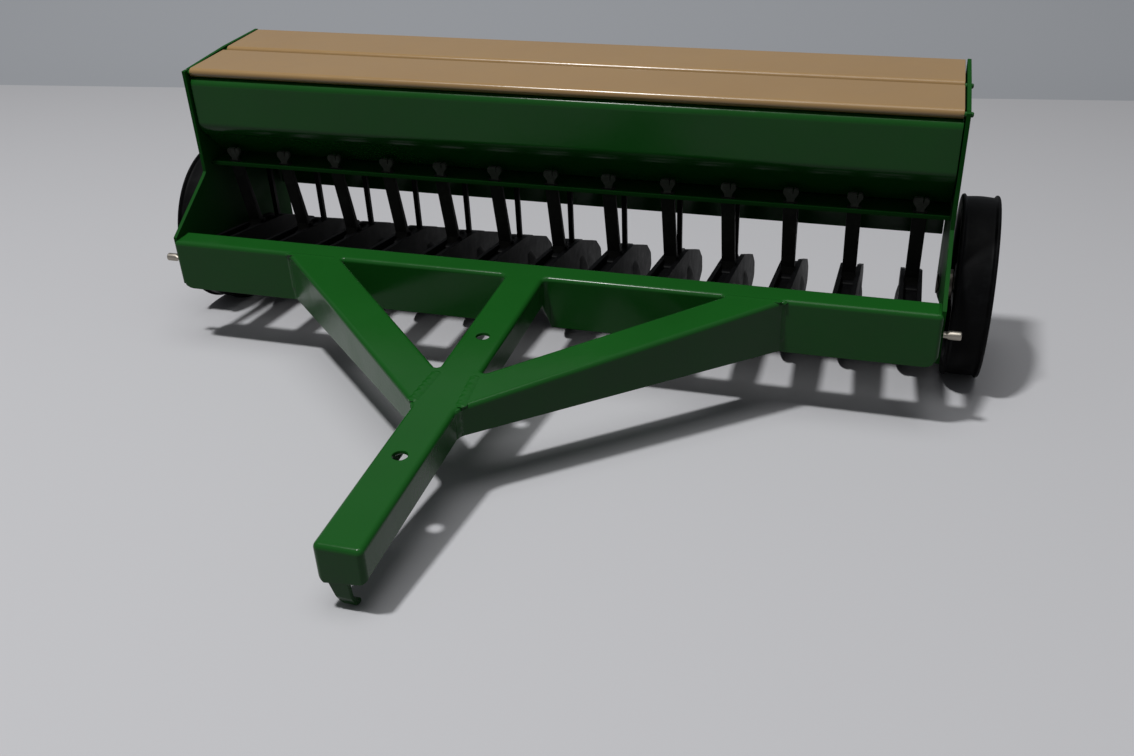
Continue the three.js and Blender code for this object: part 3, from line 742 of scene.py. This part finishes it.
def opener_shape(x):
    """Two cheeks with a web and a boot between them, the press wheel, two discs and the peg."""
    cheek = cheek_outline()
    cheeks = [slab(cheek, x + s * WIDE, x + s * (WIDE - CHEEK)) for s in (-1, 1)]
    web = slab([(2.4, -10.9), (12, -11.4), (30, -16.8), (36, -19.8), (36, -10.6), (30, -9.2), (12, -6.2),
                (2.4, -5.4)], x - WIDE + CHEEK / 2, x + WIDE - CHEEK / 2)
    boot = slab(smooth_line(
        [(33.5, -9.2), (37, -9.2), (52, -12.2), (66, -19.2), (66, -30), (58, -37.5), (44, -37.5),
         (33.5, -21)],
        [1, 1, 6, 2, 3, 4, 4, 3]), x - INSIDE, x + INSIDE)
    peg = block((x - 0.85, x + 0.85), (52.15, 53.85), (-14, 20.3))
    return merged(cheeks + [web, boot, press_wheel(x), disc(x, -1), disc(x, 1), peg])


def tube_shape(x):
    """A flat seed tube that leans forwards as it rises, and the collar at its foot."""
    foot, head = Vector((38.5, -9.0)), Vector((HEAD_BACK, 18.4))
    low = foot + (foot - head).normalized() * 2.5
    tube = slab([(low.x - 1.3, low.y), (low.x + 1.2, low.y), (head.x + 0.8, head.y), (head.x - 0.8, head.y)],
                x - TUBE_HALF, x + TUBE_HALF)
    collar = slab([(36.4, -9.6), (41.2, -10.6), (40.6, -7.2), (36.6, -6.8)], x - TUBE_HALF, x + TUBE_HALF)
    return merged([tube, collar])


def barb_shape(x):
    """The snap head of a seed tube, split so that it can squeeze through its slot."""
    outline = [(-1.2, 17.6), (1.2, 17.6), (1.2, 19.2), (2.45, 21.1), (2.3, 22.7), (0.9, 22.7), (0.75, 20.9),
               (0.55, 20.9), (0.5, 22.7), (-2.3, 22.7), (-2.45, 21.1), (-1.2, 19.2)]
    rounds = [0, 0, 0.6, 0.7, 0.8, 0.3, 0, 0, 0.3, 0.8, 0.7, 0.6]
    return slab_y(smooth_line([(x + aside, z) for aside, z in outline], rounds),
                  HEAD_BACK - BARB_HALF, HEAD_BACK + BARB_HALF)


def row_tree():
    """The same moulding again and again along a line."""
    tree = bpy.data.node_groups.new("row of openers", "GeometryNodeTree")
    sockets = tree.interface
    sockets.new_socket("Moulding", in_out="INPUT", socket_type="NodeSocketGeometry")
    sockets.new_socket("Count", in_out="INPUT", socket_type="NodeSocketInt")
    sockets.new_socket("Pitch", in_out="INPUT", socket_type="NodeSocketFloat")
    sockets.new_socket("Plastic", in_out="INPUT", socket_type="NodeSocketMaterial")
    sockets.new_socket("Row", in_out="OUTPUT", socket_type="NodeSocketGeometry")
    given = add(tree, "NodeGroupInput").outputs
    step = add(tree, "ShaderNodeCombineXYZ", {"X": given["Pitch"]})
    line = add(tree, "GeometryNodeMeshLine", {"Count": given["Count"], "Offset": step.outputs["Vector"]})
    placed = add(tree, "GeometryNodeInstanceOnPoints", {
        "Points": line.outputs["Mesh"], "Instance": given["Moulding"]})
    real = add(tree, "GeometryNodeRealizeInstances", {"Geometry": placed.outputs["Instances"]})
    coated = add(tree, "GeometryNodeSetMaterial", {
        "Geometry": real.outputs["Geometry"], "Material": given["Plastic"]})
    add(tree, "NodeGroupOutput", {"Row": coated.outputs["Geometry"]})
    return tree


def eased(shape, width):
    """A shape in the level frame with its edges rounded, ready to be repeated."""
    points, faces = shape
    mesh = bpy.data.meshes.new("moulding")
    mesh.from_pydata(points, [], faces)
    clean(mesh, SAME_POINT)
    made = new_object("moulding", mesh)
    bevel = made.modifiers.new("rounded edges", "BEVEL")
    bevel.width = width
    bevel.segments = 2
    bevel.limit_method = "ANGLE"
    bevel.angle_limit = CREASE
    result = plain_mesh(made)
    start = [v.co.copy() for v in result.vertices], [], [list(p.vertices) for p in result.polygons]
    bpy.data.objects.remove(made)
    return start


first = -PITCH * (OPENERS - 1) / 2
row = row_tree()
for name, shape, plastic, replaced in (
        ("openers_row", opener_shape(first), black, [f"opener_{i + 1:02d}" for i in range(OPENERS)]),
        ("seed_tubes_row", tube_shape(first), smoky, []),
        ("barb_heads_row", barb_shape(first), grey, [])):
    made = grown(name, eased(shape, 0.3), row, {"Count": OPENERS, "Pitch": PITCH * MM, "Plastic": plastic},
                 replaced)
    made.data.polygons.foreach_set("use_smooth", [True] * len(made.data.polygons))
    made.data.set_sharp_from_angle(angle=math.radians(50))
    made.modifiers.new("flat faces stay flat", "WEIGHTED_NORMAL").keep_sharp = True

# ---------------------------------------------------------------- floor, light and camera
SHADED_PAPER = "#4C4C4E"  # what the floor and wall send back to the toy
SKY_ON_TOY, SKY_SEEN = 0.13, 0.36
FLOOR_FRONT, FLOOR_BACK = -2.0, 0.55  # the stage's places are in metres
CURVE = 0.35
WALL_TOP = 2.2
STAGE_HALF = 3.0
STAGE_TURN = math.radians(12)  # square to the camera's view


def straight_rays(tree):
    """1 for rays from the camera, straight or by way of metal or glass, and 0 for light that
    scatters."""
    seen = add(tree, "ShaderNodeLightPath").outputs
    by_mirror = add(tree, "ShaderNodeMath", {
        0: seen["Is Camera Ray"], 1: seen["Is Glossy Ray"]}, operation="MAXIMUM")
    by_glass = add(tree, "ShaderNodeMath", {
        0: by_mirror.outputs["Value"], 1: seen["Is Transmission Ray"]}, operation="MAXIMUM")
    return by_glass.outputs["Value"]


def stage_material(name, colour):
    """Matt paper or paint, plain all over. What it sends back to the toy's underside is kept down, as
    from a cloth that lies in the toy's own shade."""
    material, tree, _ = new_material(name)
    tint = add(tree, "ShaderNodeMix", {
        "Factor": straight_rays(tree), "A": linear(SHADED_PAPER), "B": linear(colour)}, data_type="RGBA")
    paper = add(tree, "ShaderNodeBsdfPrincipled", {
        "Base Color": tint.outputs["Result"], "Roughness": 0.9, "Specular IOR Level": 0.2})
    add(tree, "ShaderNodeOutputMaterial", {"Surface": paper.outputs["BSDF"]})
    return material


def stage():
    """A floor that curves up into a wall well behind the toy."""
    profile = [(FLOOR_FRONT, 0.0), (FLOOR_BACK, 0.0)]
    profile += [(FLOOR_BACK + CURVE * math.sin(a), CURVE - CURVE * math.cos(a))
                for a in np.linspace(0, math.pi / 2, 16)[1:]]
    profile.append((FLOOR_BACK + CURVE, WALL_TOP))
    turn = Matrix.Rotation(STAGE_TURN, 3, "Z")
    points = [turn @ Vector((x, y, z)) for x in (-STAGE_HALF, STAGE_HALF) for y, z in profile]
    count = len(profile)
    faces = [[i, count + i, count + i + 1, i + 1] for i in range(count - 1)]
    mesh = bpy.data.meshes.new("floor_and_wall")
    mesh.from_pydata(points, [], faces)
    mesh.polygons.foreach_set("use_smooth", [True] * len(mesh.polygons))
    mesh.materials.append(stage_material("pale_matt_paper", "#CACACD"))
    mesh.materials.append(stage_material("grey_matt_wall", "#B2B5BA"))
    for i, face in enumerate(mesh.polygons):
        face.material_index = 1 if i > 0 else 0
    new_object("floor_and_wall", mesh)


def lamp(name, towards, distance, width, power):
    """A round soft lamp in this level direction from the middle of the toy."""
    data = bpy.data.lights.new(name, "AREA")
    data.shape = "DISK"
    data.size = width
    data.energy = power
    made = new_object(name, data)
    direction = (LEVEL.to_3x3() @ Vector(towards)).normalized()
    made.location = Vector((0, 0, 0.05)) + direction * distance
    made.rotation_euler = direction.to_track_quat("Z", "Y").to_euler()


stage()
lamp("ceiling_lamp", towards=(-0.232, -0.169, 0.958), distance=1.4, width=0.127, power=12.6)
lamp("ceiling_glow", towards=(0.05, 0.05, 0.998), distance=2.4, width=1.7, power=13)

world = bpy.data.worlds.new("studio")
world.use_nodes = True
world.node_tree.nodes.clear()
strength = add(world.node_tree, "ShaderNodeMapRange", {
    "Value": straight_rays(world.node_tree), "To Min": SKY_ON_TOY, "To Max": SKY_SEEN})
sky = add(world.node_tree, "ShaderNodeBackground", {
    "Color": linear("#E6E9EE"), "Strength": strength.outputs["Result"]})
add(world.node_tree, "ShaderNodeOutputWorld", {"Surface": sky.outputs["Background"]})
bpy.context.scene.world = world

EYE = (112.4, -313.9, 167.5)
AIM = (30.5, -56.3, 0.0)  # where the middle of the view meets the plane of the beam's top
TILT = -2.69  # degrees about the line of sight
camera = new_object("camera", bpy.data.cameras.new("camera"))
camera.data.sensor_width = 36.0
camera.data.lens = 37.06
camera.data.clip_start = 0.01
sight = Vector(AIM) - Vector(EYE)
across = sight.cross(Vector((0, 0, 1))).normalized()
turn = Matrix((across, across.cross(sight.normalized()), -sight.normalized())).transposed()
turn = turn @ Matrix.Rotation(math.radians(TILT), 3, "Z")
camera.matrix_world = Matrix.Translation(LEVEL @ Vector(EYE)) @ (LEVEL.to_3x3().normalized() @ turn).to_4x4()
bpy.context.scene.camera = camera
bpy.context.scene.view_settings.view_transform = "Standard"
